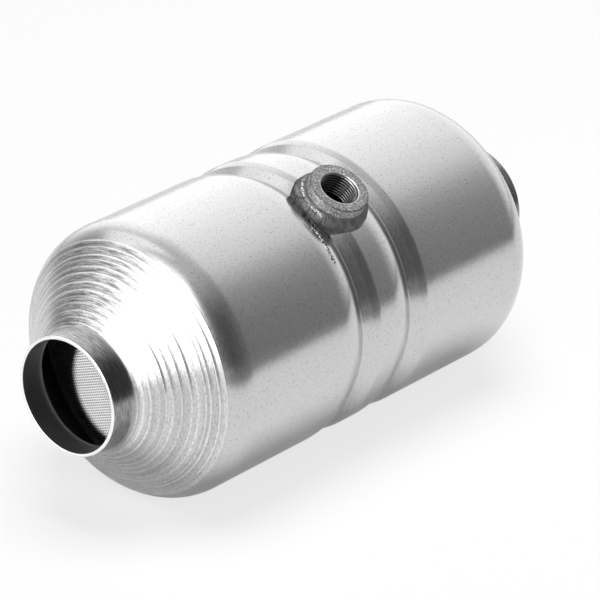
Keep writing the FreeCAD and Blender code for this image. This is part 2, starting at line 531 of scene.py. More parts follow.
@dataclass(frozen=True)
class ShellSizes:
    """Sizes of the spun shell, of which the length and the body's radius come from the frame.

    A groove goes down its long front lip to the root, up the wall, over the knuckle and along the ramp
    to the rear lip.
    """

    length: float
    body: float
    wall: float = 1.6 * MM
    neck: float = 27.4 * MM
    neck_length: float = 9.2 * MM
    neck_fillet: float = 5.0 * MM
    cone_degrees: float = 50.0
    shoulder: float = 18.5 * MM
    scallop_pitch: float = 3.3 * MM
    scallop_depth: float = 0.15 * MM
    neck_rise: float = 0.5 * MM
    kink_run: float = 2.0 * MM
    kink_degrees: float = 42.0
    groove_x: float = 126.0 * MM
    groove_spacing: float = 32.6 * MM
    groove_depth: float = 4.0 * MM
    front_lip: float = 28.0 * MM
    root: float = 1.5 * MM
    wall_degrees: float = 34.0
    knuckle: float = 3.0 * MM
    ramp_degrees: float = 18.0
    ramp_run: float = 2.4 * MM
    rear_lip: float = 4.0 * MM

    @property
    def cone_start(self) -> Pair:
        """Point where the neck's fillet passes into the cone."""
        angle, fillet = math.radians(self.cone_degrees), self.neck_fillet
        return (self.neck_length + fillet * math.sin(angle), self.neck + fillet * (1 - math.cos(angle)))

    @property
    def cone_end(self) -> Pair:
        """Point where the cone passes into the shoulder.

        Returns:
            Its place along the flow and its radius.
        """
        angle = math.radians(self.cone_degrees)
        radius = self.body - self.shoulder * (1 - math.cos(angle))
        start = self.cone_start
        return (start[0] + (radius - start[1]) / math.tan(angle), radius)

    @property
    def shoulder_end(self) -> float:
        """Place along the flow where the shoulder passes into the straight body."""
        return self.cone_end[0] + self.shoulder * math.sin(math.radians(self.cone_degrees))

    @property
    def kink(self) -> Pair:
        """Point where the outer skin's ridges stop short on the shoulder."""
        angle, end = math.radians(self.cone_degrees), self.cone_end
        return (end[0] + self.kink_run * math.cos(angle), end[1] + self.kink_run * math.sin(angle))

    @property
    def ridged_length(self) -> float:
        """Length of the ridged stretch along its slope."""
        return math.dist(self.cone_start, self.kink)

    @property
    def grooves(self) -> Pair:
        """Places along the flow of both grooves' bottoms."""
        return (self.groove_x, self.groove_x + self.groove_spacing)

    @property
    def front_degrees(self) -> float:
        """Turn of a groove's front lip."""
        return math.degrees(math.acos(1 - self.groove_depth / (self.front_lip + self.root)))

    @property
    def front_width(self) -> float:
        """Length along the flow from a front lip's start to the groove's bottom."""
        return (self.front_lip + self.root) * math.sin(math.radians(self.front_degrees))

    @property
    def rear_width(self) -> float:
        """Length along the flow from a groove's bottom to its rear lip's end.

        Returns:
            The length along the flow of the arcs, the ramp and the straight wall between them.
        """
        wall, ramp = math.radians(self.wall_degrees), math.radians(self.ramp_degrees)
        rise = (
            self.root * (1 - math.cos(wall))
            + self.knuckle * (math.cos(ramp) - math.cos(wall))
            + self.ramp_run * math.tan(ramp)
            + self.rear_lip * (1 - math.cos(ramp))
        )
        rounded = (
            self.root * math.sin(wall)
            + self.knuckle * (math.sin(wall) - math.sin(ramp))
            + self.rear_lip * math.sin(ramp)
        )
        return rounded + self.ramp_run + (self.groove_depth - rise) / math.tan(wall)

    def groove(self, x: float, inset: float = 0.0) -> Outline:
        """Outline of one rolled groove: long front lip, root, short wall, knuckle, ramp and rear lip.

        Args:
            x: Place of the groove's bottom along the flow.
            inset: Depth below the outer skin.

        Returns:
            The outline's points.
        """
        fine = 2 if inset == 0 else 1
        front, wall, ramp = self.front_degrees, self.wall_degrees, self.ramp_degrees
        low = math.radians(ramp)
        end = x + self.rear_width
        front_centre = (x - self.front_width, self.body - self.front_lip)
        root_centre = (x, self.body - self.groove_depth + self.root)
        ramp_top = (end - self.rear_lip * math.sin(low), self.body - self.rear_lip * (1 - math.cos(low)))
        ramp_foot = (ramp_top[0] - self.ramp_run, ramp_top[1] - self.ramp_run * math.tan(low))
        knuckle = (ramp_foot[0] + self.knuckle * math.sin(low), ramp_foot[1] - self.knuckle * math.cos(low))
        return (
            arc(front_centre, self.front_lip - inset, 90, 90 - front, 8 * fine)
            + arc(root_centre, self.root + inset, -90 - front, wall - 90, 4 * fine)[1:]
            + arc(knuckle, self.knuckle - inset, 90 + wall, 90 + ramp, 2 * fine)
            + arc((end, self.body - self.rear_lip), self.rear_lip - inset, 90 + ramp, 90, 3 * fine)
        )

    def radius_at(self, x: float) -> float:
        """Outer radius of the body between the shoulders.

        Args:
            x: Place along the flow.

        Returns:
            The radius there, grooves included.
        """
        for bottom in self.grooves:
            outline = self.groove(bottom)
            for (x0, r0), (x1, r1) in zip(outline, outline[1:]):
                if x0 <= x < x1:
                    return r0 + (r1 - r0) * (x - x0) / (x1 - x0)
        return self.body


@dataclass(frozen=True)
class BossSizes:
    """Sizes and place of the sensor boss and its thread."""

    x: float = 138.0 * MM
    tilt: float = 30.0
    radius: float = 14.0 * MM
    top: float = 71.4 * MM
    seat: float = 63.5 * MM
    bottom: float = 59.9 * MM
    spigot: float = 11.9 * MM
    edge: float = 0.6 * MM
    mouth: float = 9.25 * MM
    thread_minor: float = 8.19 * MM
    thread_depth: float = 0.8 * MM
    thread_pitch: float = 1.5 * MM

    @property
    def axis(self) -> Vector:
        """Direction of the bore, outwards."""
        turn = math.radians(self.tilt)
        return Vector((0, -math.sin(turn), math.cos(turn)))

    @property
    def matrix(self) -> Matrix:
        """Transform from a boss standing on the origin to its place."""
        return Matrix.Translation((self.x, 0, 0)) @ Matrix.Rotation(math.radians(self.tilt), 4, "X")


# Finishes


@dataclass(frozen=True)
class SatinSteel:
    """Bright spun stainless steel of the outside: speckled body, gritty cones, brushed necks, with painted
    shade, highlights and dark reflections.
    """

    shade: float = 0.60
    roughness: float = 0.21
    pitting: float = 0.48
    neck_dulling: float = 0.20
    neck_brushing: float = 0.45
    neck_dark_reflection: float = 0.60
    neck_shadow: float = 0.22
    crest_highlight: float = 0.35
    ring_contrast: float = 0.8
    grit_contrast: float = 0.24
    upper_dark_reflection: float = 0.60
    rim_cut_and_highlight: float = 0.95
    fraying: float = 3.0 * MM
    relief: float = 0.02 * MM

    def zones(self, from_end: Wire, streak: Wire, sizes: ShellSizes) -> tuple[Wire, Wire, Wire]:
        """Masks of the shell's stretches along the flow.

        Args:
            from_end: Distance from the nearer end.
            streak: Tool marks, which fray the neck's border.
            sizes: The shell's sizes.

        Returns:
            The masks of the necks, the cones and the body.
        """
        start, kink = sizes.cone_start[0], sizes.kink[0]
        frayed = from_end + self.fraying * (streak - 0.5)
        neck = frayed.fall(start - 3.5 * MM, start + 1.5 * MM)
        cone = from_end.span(start - 2 * MM, start) * from_end.fall(kink - 0.3 * MM, kink + 0.5 * MM)
        return neck, cone, 1 - cone.math("MAXIMUM", neck)

    def material(self, sizes: ShellSizes) -> bpy.types.Material:
        """Build the material.

        Args:
            sizes: The shell's sizes, which say where the cones and necks are.

        Returns:
            The material.
        """
        paint = Paint("satin_stainless")
        at = paint.place()
        middle = sizes.length / 2
        from_end = middle - (paint.coordinate(at, "X") - middle).math("ABSOLUTE")
        side = paint.coordinate(at, "Z").math("ARCTAN2", paint.coordinate(at, "Y") * -1)
        streak = paint.spin_marks(at, 0.3 * MM, 1.8 * MM, detail=4)
        grit = paint.spin_marks(at, 0.3 * MM, 9 * MM, detail=3)
        rings = paint.spin_marks(at, 0.7 * MM, 0.3 * MM, detail=2)
        peel = paint.noise(at, 2.2 * MM, detail=3)
        grain = paint.noise(at, 0.6 * MM, detail=2, rough=0.6)
        pits = paint.noise(at, 0.7 * MM, detail=3, rough=0.6).span(0.58, 0.68)
        neck, cone, body = self.zones(from_end, streak, sizes)
        crest = cone * paint.crest()
        rim = from_end.fall(0.35 * MM, 0.6 * MM)
        neck_reflection_zone = neck * side.span(0.05, 0.25) * side.fall(0.75, 1.25)
        upper_reflection_zone = cone * side.span(0.9, 1.5) * side.fall(1.95, 2.5)
        brushed = self.neck_dulling + self.neck_brushing * streak.span(0.38, 0.62)
        shade = self.shade * (0.93 + 0.14 * grain) * (1 - self.pitting * pits * body)
        # Painted dark reflection on the necks: a darker sector by angle round the flow axis.
        shade = shade * (1 - neck * brushed) * (1 - self.neck_dark_reflection * neck_reflection_zone)
        shade = shade * (1 - neck * side.span(0.0, 0.3, self.neck_shadow, 0))
        # Painted highlight: the cones' crests are lightened, and the rings vary the tone at random.
        shade = shade * (1 + self.crest_highlight * crest) * (1 + self.ring_contrast * cone * (rings - 0.5))
        shade = shade * (1 - self.grit_contrast * cone * grit.span(0.42, 0.66))
        # Painted dark reflection: the valleys on the upper side of each cone are darkened in streaks.
        shade = shade * (1 - self.upper_dark_reflection * upper_reflection_zone * (1 - crest) * streak.span(0.40, 0.62))
        # The mouth's rim is lightened: partly a brighter cut edge, partly a painted highlight.
        shade = shade * (1 - rim) + self.rim_cut_and_highlight * rim
        rough = self.roughness + 0.06 * (peel - 0.5) + 0.10 * cone * grit + 0.05 * neck
        height = 1.1 * peel + 0.6 * body * grain + neck * streak
        height = height + cone * (1.4 * grit + 1.8 * streak + 2.2 * rings)
        return paint.finish(paint.grey(shade), rough, paint.bump(height, self.relief), 1.0)


@dataclass(frozen=True)
class ShadedBore:
    """Dull, very dark skin of the shell's inside, its darkness painted shade of the hollow shell."""

    shade: float = 0.115
    roughness: float = 0.5
    metallic: float = 0.85
    relief: float = 0.02 * MM

    def material(self) -> bpy.types.Material:
        """Build the material.

        Returns:
            The material.
        """
        paint = Paint("shaded_inside_steel")
        at = paint.place()
        brushed = paint.noise(at, 0.4 * MM, detail=2, rough=0.6, stretch=(1, 0.06, 0.06))
        blotch = paint.noise(at, 9 * MM, detail=2)
        # Painted shade: the low base colour stands for the shade inside the hollow shell.
        shade = self.shade * (0.75 + 0.3 * brushed + 0.2 * blotch)
        rough = self.roughness + 0.12 * (blotch - 0.5)
        return paint.finish(paint.grey(shade), rough, paint.bump(brushed, self.relief), self.metallic)


@dataclass(frozen=True)
class CoatedCeramic:
    """Matt coated ceramic of the bricks, with painted shade down its channels."""

    shade: float = 0.17
    soot_and_shade: float = 0.22
    roughness: float = 0.82
    tint: Triple = (1.0, 0.995, 0.985)
    relief: float = 0.03 * MM

    def material(self, faces: list[float]) -> bpy.types.Material:
        """Build the material.

        Args:
            faces: Places along the flow of the bricks' end faces.

        Returns:
            The material.
        """
        paint = Paint("coated_ceramic")
        at = paint.place()
        x = paint.coordinate(at, "X")
        deep = (x - faces[0]).math("ABSOLUTE")
        for face in faces[1:]:
            deep = deep.math("MINIMUM", (x - face).math("ABSOLUTE"))
        speck = paint.noise(at, 0.35 * MM, detail=3, rough=0.6)
        cloud = paint.noise(at, 12 * MM, detail=2)
        # Painted shade: the channel walls darken a little way in from each face.
        channel_shade = deep.span(0.02 * MM, 0.25 * MM, 1, self.soot_and_shade)
        shade = self.shade * (0.78 + 0.25 * speck + 0.18 * cloud) * channel_shade
        rough = self.roughness + 0.1 * (speck - 0.5)
        return paint.finish(paint.tinted(shade, self.tint), rough, paint.bump(speck, self.relief), 0.0)


@dataclass(frozen=True)
class FibreMat:
    """Pressed ceramic fibre of the mats."""

    shade: float = 0.72
    roughness: float = 0.9
    tint: Triple = (1.0, 0.97, 0.90)
    relief: float = 0.15 * MM

    def material(self) -> bpy.types.Material:
        """Build the material.

        Returns:
            The material.
        """
        paint = Paint("ceramic_fibre")
        at = paint.place()
        strand = paint.noise(at, 0.6 * MM, detail=4, rough=0.7, stretch=(0.25, 1, 1))
        fleck = paint.noise(at, 1.5 * MM, detail=2).span(0.64, 0.72)
        shade = self.shade * (0.85 + 0.3 * strand) * (1 - 0.35 * fleck)
        rough = self.roughness + 0.08 * (strand - 0.5)
        return paint.finish(paint.tinted(shade, self.tint), rough, paint.bump(strand, self.relief), 0.0)


@dataclass(frozen=True)
class ScaledSteel:
    """Rough grey steel of the boss, bright where the thread's mouth was cut, with painted shade down the
    bore and painted highlights on the thread's crests.
    """

    shade: float = 0.34
    bright: float = 0.75
    bore_painted_shade: float = 0.05
    thread_crest_highlight: float = 0.42
    speckling: float = 1.6
    corner_painted_shade: float = 0.5
    roughness: float = 0.44
    relief: float = 0.35 * MM

    def material(self, boss: BossSizes) -> bpy.types.Material:
        """Build the material.

        Args:
            boss: The boss's sizes, which say where the cut ring is.

        Returns:
            The material.
        """
        paint = Paint("scaled_boss_steel")
        at = paint.place()
        height, away = paint.round_axis(paint.vector("SUBTRACT", at, (boss.x, 0, 0)), boss.axis)
        near = away.fall(boss.mouth + 0.15 * MM, boss.mouth + 0.3 * MM)
        cut = near * height.span(boss.top - 0.32 * MM, boss.top - 0.18 * MM)
        bore = near - cut
        top_edge = height.span(boss.top - 0.55 * MM, boss.top - 0.35 * MM)
        corner = top_edge * away.span(boss.radius - 0.9 * MM, boss.radius - 0.6 * MM)
        grain = paint.noise(at, 0.7 * MM, detail=4, rough=0.7)
        lump = paint.noise(at, 2.0 * MM, detail=3, rough=0.6)
        specks = paint.noise(at, 0.9 * MM, detail=3, rough=0.7).span(0.52, 0.60)
        shade = self.shade * (0.22 + 1.1 * grain) * (1 + self.speckling * specks)
        # Painted shade: a dark line round the top face's outer edge.
        shade = shade * (1 - self.corner_painted_shade * corner)
        # Painted shade in the bore, with painted highlights along the thread's crests.
        thread = (self.bore_painted_shade + self.thread_crest_highlight * paint.crest()) * (0.8 + 0.4 * grain)
        shade = shade * (1 - near) + thread * bore + self.bright * cut
        rough = self.roughness + 0.3 * (lump - 0.5) - 0.2 * cut - 0.14 * bore
        lumps = (0.8 * grain + lump) * (1 - 0.9 * cut) * (1 - 0.85 * bore)
        return paint.finish(paint.grey(shade), rough, paint.bump(lumps, self.relief), 1.0)


@dataclass(frozen=True)
class WeldMetal:
    """Dark weld bead with a painted highlight along its crown, on the side where the bead is fuller."""

    shade: float = 0.21
    crown_highlight: float = 0.85
    drop_shade: float = 0.75
    soot_and_shade: float = 0.35
    toe_darkening: float = 0.55
    roughness: float = 0.42
    full_side: Triple = (-0.93, 0.32, 0.18)
    relief: float = 0.45 * MM

    def material(self, boss: BossSizes) -> bpy.types.Material:
        """Build the material.

        Args:
            boss: The boss's sizes, which say where the painted highlight runs.

        Returns:
            The material.
        """
        paint = Paint("weld_metal")
        at = paint.place()
        beside = paint.vector("SUBTRACT", at, (boss.x, 0, 0))
        _, from_axis = paint.round_axis(beside, boss.axis)
        out = from_axis - boss.radius
        toward_full_side = paint.vector("DOT_PRODUCT", beside, self.full_side, output="Value").span(9 * MM, 13 * MM)
        grain = paint.noise(at, 0.8 * MM, detail=4, rough=0.7)
        soot_and_shade = paint.noise(at, 3.0 * MM, detail=3, rough=0.6).span(0.4, 0.65)
        ring = out.span(0.9 * MM, 1.4 * MM) * out.fall(1.7 * MM, 2.4 * MM)
        # Painted highlight along the crown on one side of the boss.
        crown_highlight = ring * toward_full_side * grain.span(0.46, 0.58)
        toe = out.span(3.2 * MM, 4.6 * MM)
        flung = out.span(7.0 * MM, 7.6 * MM) * paint.noise(at, 0.8 * MM, detail=1).span(0.46, 0.54)
        # Darker towards the toe, where the bead meets the shell.
        shade = self.shade * (0.35 + 1.1 * grain) * (1 - self.soot_and_shade * soot_and_shade) * (1 - self.toe_darkening * toe)
        shade = shade + self.crown_highlight * crown_highlight + self.drop_shade * flung
        rough = self.roughness + 0.15 * soot_and_shade - 0.1 * crown_highlight
        return paint.finish(paint.grey(shade), rough, paint.bump(grain, self.relief), 1.0)


# Pieces


@dataclass
class SpunShell:
    """The one-piece shell, spun down at both ends, with ridged cones and two rolled grooves."""

    sizes: ShellSizes
    boss: BossSizes
    steps: int = 240
    cuts: int = 6
    seed: int = 4
    pitch_play: float = 0.3
    depth_play: Pair = (0.3, 1.6)
    rim: float = 0.45 * MM
    waver: float = 0.05 * MM
    waver_along: float = 420.0
    waver_round: float = 2.2
    outer_depth: float = 0.8 * MM
    crest_width: float = 0.14
    crest_overrun: float = 0.01
    hole_clearance: float = 0.1 * MM
    drill_length: float = 40.0 * MM
    crease: float = 15.0
    inside_facing: float = -0.05
    rim_facing: float = -0.6

    def crests(self, chance: random.Random) -> list[float]:
        """Shares of the ridged stretch where the crests lie, the ends included."""
        count = round(self.sizes.ridged_length / self.sizes.scallop_pitch)
        inner = [(i + chance.uniform(-self.pitch_play, self.pitch_play)) / count for i in range(1, count)]
        return [0.0] + inner + [1.0]

    def scalloped(self) -> Outline:
        """Outline of the ridges from the cone's start to the kink, uneven as the roller left them.

        Returns:
            The outline's points, without the kink itself.
        """
        sizes = self.sizes
        (start_x, start_r), (end_x, end_r) = sizes.cone_start, sizes.kink
        run_x, run_r = end_x - start_x, end_r - start_r
        inward = (run_r / sizes.ridged_length, -run_x / sizes.ridged_length)
        chance = random.Random(self.seed)
        crests = self.crests(chance)
        points = []
        for low, high in zip(crests, crests[1:]):
            deepest = sizes.scallop_depth * chance.uniform(*self.depth_play)
            for cut in range(self.cuts):
                inside = cut / self.cuts
                share = low + (high - low) * inside
                depth = deepest * 4 * inside * (1 - inside)
                x = start_x + run_x * share + inward[0] * depth
                points.append((x, start_r + run_r * share + inward[1] * depth))
        return points

    def outer_end(self) -> Outline:
        """Outer outline of the inlet end: tapered neck, fillet, ridges, kink and shoulder.

        Returns:
            The outline's points.
        """
        sizes = self.sizes
        angle, turn = math.radians(sizes.cone_degrees), math.radians(sizes.kink_degrees)
        neck = sizes.neck + sizes.neck_rise
        fillet = (sizes.cone_start[1] - neck) / (1 - math.cos(angle))
        fillet_centre = (sizes.cone_start[0] - fillet * math.sin(angle), neck + fillet)
        shoulder = (sizes.body - sizes.kink[1]) / (1 - math.cos(turn))
        shoulder_centre = (sizes.kink[0] + shoulder * math.sin(turn), sizes.body - shoulder)
        return (
            arc(fillet_centre, fillet, -90, sizes.cone_degrees - 90, 8)[:-1]
            + self.scalloped()
            + arc(shoulder_centre, shoulder, sizes.kink_degrees + 90, 90, 18)
        )

    def inner_end(self) -> Outline:
        """Inner outline of the inlet end, from the neck's straight on.

        Returns:
            The outline's points.
        """
        sizes = self.sizes
        angle = sizes.cone_degrees
        fillet_centre = (sizes.neck_length, sizes.neck + sizes.neck_fillet)
        shoulder_centre = (sizes.shoulder_end, sizes.body - sizes.shoulder)
        fillet = arc(fillet_centre, sizes.neck_fillet + sizes.wall, -90, angle - 90, 5)
        return fillet + arc(shoulder_centre, sizes.shoulder - sizes.wall, angle + 90, 90, 8)

    def mirrored(self, outline: Outline) -> Outline:
        """The outline's mirror image at the outlet, in the opposite order."""
        return [(self.sizes.length - x, r) for x, r in reversed(outline)]

    def skin(self, inset: float) -> Outline:
        """Outline of a whole skin between the necks.

        Args:
            inset: Depth below the outer skin, which is at 0 and has the ridges.

        Returns:
            The outline's points.
        """
        front = self.inner_end() if inset else self.outer_end()
        grooves = [spot for x in self.sizes.grooves for spot in self.sizes.groove(x, inset)]
        rear = self.mirrored(front)
        before = straight(front[-1], grooves[0], 8)[1:-1]
        behind = straight(grooves[-1], rear[0], 8)[1:-1]
        return front + before + grooves + behind + rear

    def mouth(self) -> Outline:
        """Outline of the inlet's rounded rim, from inside to outside.

        Returns:
            The outline's points.
        """
        sizes, rim = self.sizes, self.rim
        inner = arc((rim, sizes.neck - sizes.wall + rim), rim, 270, 180, 7)
        return inner + arc((rim, sizes.neck - rim), rim, 180, 90, 7)

    def build(self) -> bpy.types.Object:
        """Spin the whole outline and cut the boss's hole.

        Returns:
            The shell.
        """
        inside = list(reversed(self.skin(self.sizes.wall)))
        mouth = self.mouth()
        outline = mouth + self.skin(0) + self.mirrored(mouth) + inside
        piece = spun("spun_shell", outline + outline[:1], self.steps)
        self.roughen(piece)
        self.cut_hole(piece)
        self.mark_crests(piece)
        smooth(piece, self.crease)
        return piece

    def roughen(self, piece: bpy.types.Object) -> None:
        """Let the ridges waver round the cones, as a roller that is pressed by hand leaves them.

        Args:
            piece: The shell.
        """
        sizes = self.sizes
        start_x, start_r = sizes.cone_start
        slope = math.tan(math.radians(sizes.cone_degrees))
        for vertex in piece.data.vertices:
            x, y, z = vertex.co
            radius = math.hypot(y, z)
            end = min(x, sizes.length - x)
            line = start_r + (end - start_x) * slope
            if start_x < end < sizes.kink[0] and radius > line - self.outer_depth:
                across, up = self.waver_round * y / radius, self.waver_round * z / radius
                push = 1 + self.waver * noise.noise(Vector((x * self.waver_along, across, up))) / radius
                vertex.co = Vector((x, y * push, z * push))

    def mark_crests(self, piece: bpy.types.Object) -> None:
        """Store how near each vertex of the cones is to a crest.

        Args:
            piece: The shell.
        """
        sizes = self.sizes
        start = sizes.cone_start[0]
        crests = self.crests(random.Random(self.seed))
        reach = self.crest_width * sizes.scallop_pitch
        values = []
        for vertex in piece.data.vertices:
            share = (min(vertex.co.x, sizes.length - vertex.co.x) - start) / (sizes.kink[0] - start)
            away = min(abs(share - crest) for crest in crests) * sizes.ridged_length
            ridged = 0 <= share <= 1 + self.crest_overrun
            values.append(max(0.0, 1 - away / reach) if ridged else 0.0)
        store_crests(piece, values)

    def cut_hole(self, piece: bpy.types.Object) -> None:
        """Cut the hole that the boss's spigot passes through.

        Args:
            piece: The shell.
        """
        boss = self.boss
        radius = boss.spigot + self.hole_clearance
        deselect()
        bpy.ops.mesh.primitive_cylinder_add(
            vertices=64, radius=radius, depth=self.drill_length, location=(0, 0, boss.seat)
        )
        drill = bpy.context.object
        place(drill, boss.matrix @ drill.matrix_world)
        cut = piece.modifiers.new("boss_hole", "BOOLEAN")
        cut.operation = "DIFFERENCE"
        cut.solver = "EXACT"
        cut.object = drill
        activate(piece)
        bpy.ops.object.modifier_apply(modifier=cut.name)
        bpy.data.objects.remove(drill)

    def dress(self, piece: bpy.types.Object) -> None:
        """Give the outside and the inside their finishes, the inside's dark as painted shade.

        Args:
            piece: The shell.
        """
        coat(piece, SatinSteel().material(self.sizes), ShadedBore().material())
        for face in piece.data.polygons:
            centre = face.center
            outwards = Vector((0, centre.y, centre.z)).normalized()
            past_neck = min(centre.x, self.sizes.length - centre.x) > self.sizes.neck_length
            limit = self.inside_facing if past_neck else self.rim_facing
            face.material_index = int(face.normal.dot(outwards) < limit)


@dataclass
class Brick:
    """Ceramic brick with a fine grid of square channels from face to face."""

    name: str
    node: str
    ceramic: bpy.types.Material
    pitch: float = 1.2 * MM
    web: float = 0.3 * MM
    turn: float = -20.5
    skin: float = 1.0 * MM
    skin_step: float = 0.08 * MM
    edge: float = 0.4 * MM
    edge_cut: float = 0.12 * MM

    def build(self) -> bpy.types.Object:
        """Make one channel, repeat it across the disc and close it with a skin.

        Returns:
            The brick.
        """
        low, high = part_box(self.node)
        radius = (high.y - low.y) / 2
        length = high.x - low.x
        cell = self.channel(low.x, length)
        reach = int(radius / self.pitch) + 1
        for step in (Vector((0, self.pitch, 0)), Vector((0, 0, self.pitch))):
            row = cell.modifiers.new("row", "ARRAY")
            row.count = 2 * reach + 1
            row.use_relative_offset = False
            row.use_constant_offset = True
            row.constant_offset_displace = step
            row.use_merge_vertices = True
            row.merge_threshold = NEAR
            activate(cell)
            bpy.ops.object.modifier_apply(modifier=row.name)
        place(cell, Matrix.Translation((0, -reach * self.pitch, -reach * self.pitch)))
        self.trim(cell, radius - self.skin)
        place(cell, Matrix.Rotation(math.radians(self.turn), 4, "X"))
        return join(self.name, [cell, self.jacket(low.x, length, radius)])

    def channel(self, x: float, length: float) -> bpy.types.Object:
        """One square channel with its share of the web at both faces.

        Args:
            x: Place of the front face.
            length: The brick's length.

        Returns:
            The channel.
        """
        deselect()
        bpy.ops.mesh.primitive_plane_add(size=self.pitch, location=(x, 0, 0), rotation=(0, -math.pi / 2, 0))
        piece = bpy.context.object
        settle(piece)
        with editing():
            bpy.ops.mesh.inset(thickness=self.web / 2, depth=0)
            bpy.ops.mesh.extrude_region_move(TRANSFORM_OT_translate={"value": (length, 0, 0)})
            bpy.ops.mesh.delete(type="ONLY_FACE")
        pick(piece, {i for i, vertex in enumerate(piece.data.vertices) if vertex.co.x < x + length / 2})
        with editing(whole=False):
            bpy.ops.mesh.duplicate_move(TRANSFORM_OT_translate={"value": (length, 0, 0)})
            bpy.ops.mesh.flip_normals()
            bpy.ops.mesh.select_all(action="SELECT")
            bpy.ops.mesh.remove_doubles(threshold=NEAR)
        return piece

    def trim(self, piece: bpy.types.Object, limit: float) -> None:
        """Take away the channels that aren't whole inside a circle.

        Args:
            piece: The square field of channels.
            limit: Radius of the circle.
        """
        activate(piece)
        with editing(whole=False):
            bpy.ops.mesh.select_mode(type="FACE")
            bpy.ops.mesh.select_all(action="DESELECT")
        half = self.pitch / 2
        gone = []
        for face in piece.data.polygons:
            y = round(face.center.y / self.pitch) * self.pitch
            z = round(face.center.z / self.pitch) * self.pitch
            gone.append(math.hypot(abs(y) + half, abs(z) + half) > limit)
        piece.data.polygons.foreach_set("select", gone)
        with editing(whole=False):
            bpy.ops.mesh.delete(type="FACE")
            bpy.ops.mesh.select_mode(type="VERT")

    def jacket(self, x: float, length: float, radius: float) -> bpy.types.Object:
        """Solid skin round the channels, its faces a little behind the web's.

        Args:
            x: Place of the front face.
            length: The brick's length.
            radius: The brick's radius.

        Returns:
            The skin.
        """
        inner = radius - self.skin - self.pitch * 2
        front, back = x + self.skin_step, x + length - self.skin_step
        outline = [
            (front, inner),
            (front, radius - self.edge),
            (front + self.edge_cut, radius - self.edge_cut),
            (front + self.edge, radius),
            (back - self.edge, radius),
            (back - self.edge_cut, radius - self.edge_cut),
            (back, radius - self.edge),
            (back, inner),
            (front, inner),
        ]
        return spun(self.name + "_skin", outline, 128)

    def dress(self, piece: bpy.types.Object) -> None:
        """Give the brick its finish."""
        coat(piece, self.ceramic)


@dataclass
class SensorBoss:
    """Turned boss with a real thread in its bore."""

    sizes: BossSizes
    steps: int = 120
    cuts: int = 10
    flank_slope: float = 1.5
    flank_start: float = 0.25
    crest_fall: float = 2.2
    crease: float = 35.0

    def build(self) -> bpy.types.Object:
        """Spin the boss with a finely divided bore, then press the thread into the bore.

        Returns:
            The boss.
        """
        sizes = self.sizes
        bore_top = sizes.top - (sizes.mouth - sizes.thread_minor)
        rings = round((bore_top - sizes.bottom) / sizes.thread_pitch * self.cuts)
        bore = straight((bore_top, sizes.thread_minor), (sizes.bottom, sizes.thread_minor), rings)
        mouth = straight((sizes.top, sizes.mouth), (bore_top, sizes.thread_minor), self.cuts)[:-1]
        edge = arc((sizes.top - sizes.edge, sizes.radius - sizes.edge), sizes.edge, 90, 0, 5)
        foot = [(sizes.bottom, sizes.spigot), (sizes.seat, sizes.spigot), (sizes.seat, sizes.radius)]
        piece = spun("threaded_boss", foot + edge + mouth + bore + foot[:1], self.steps, Axis.UPRIGHT)
        self.cut_thread(piece)
        smooth(piece, self.crease)
        place(piece, sizes.matrix)
        return piece

    def cut_thread(self, piece: bpy.types.Object) -> None:
        """Move the bore's vertices out to the thread's flanks, by their place on the helix.

        Args:
            piece: The boss, standing on the origin with its bore along Z.
        """
        sizes = self.sizes
        crests = [0.0] * len(piece.data.vertices)
        for vertex in piece.data.vertices:
            radius = math.hypot(vertex.co.x, vertex.co.y)
            if radius > sizes.mouth - NEAR:
                continue
            turn = math.atan2(vertex.co.y, vertex.co.x) / FULL_TURN
            phase = (vertex.co.z / sizes.thread_pitch - turn) % 1.0
            flank = 1 - abs(2 * phase - 1)
            depth = min(1.0, max(0.0, flank * self.flank_slope - self.flank_start))
            cut = sizes.thread_minor + sizes.thread_depth * depth
            if cut > radius:
                vertex.co.x *= cut / radius
                vertex.co.y *= cut / radius
            crests[vertex.index] = max(0.0, 1 - self.crest_fall * flank)
        store_crests(piece, crests)

    def dress(self, piece: bpy.types.Object) -> None:
        """Give the boss its finish."""
        coat(piece, ScaledSteel().material(self.sizes))


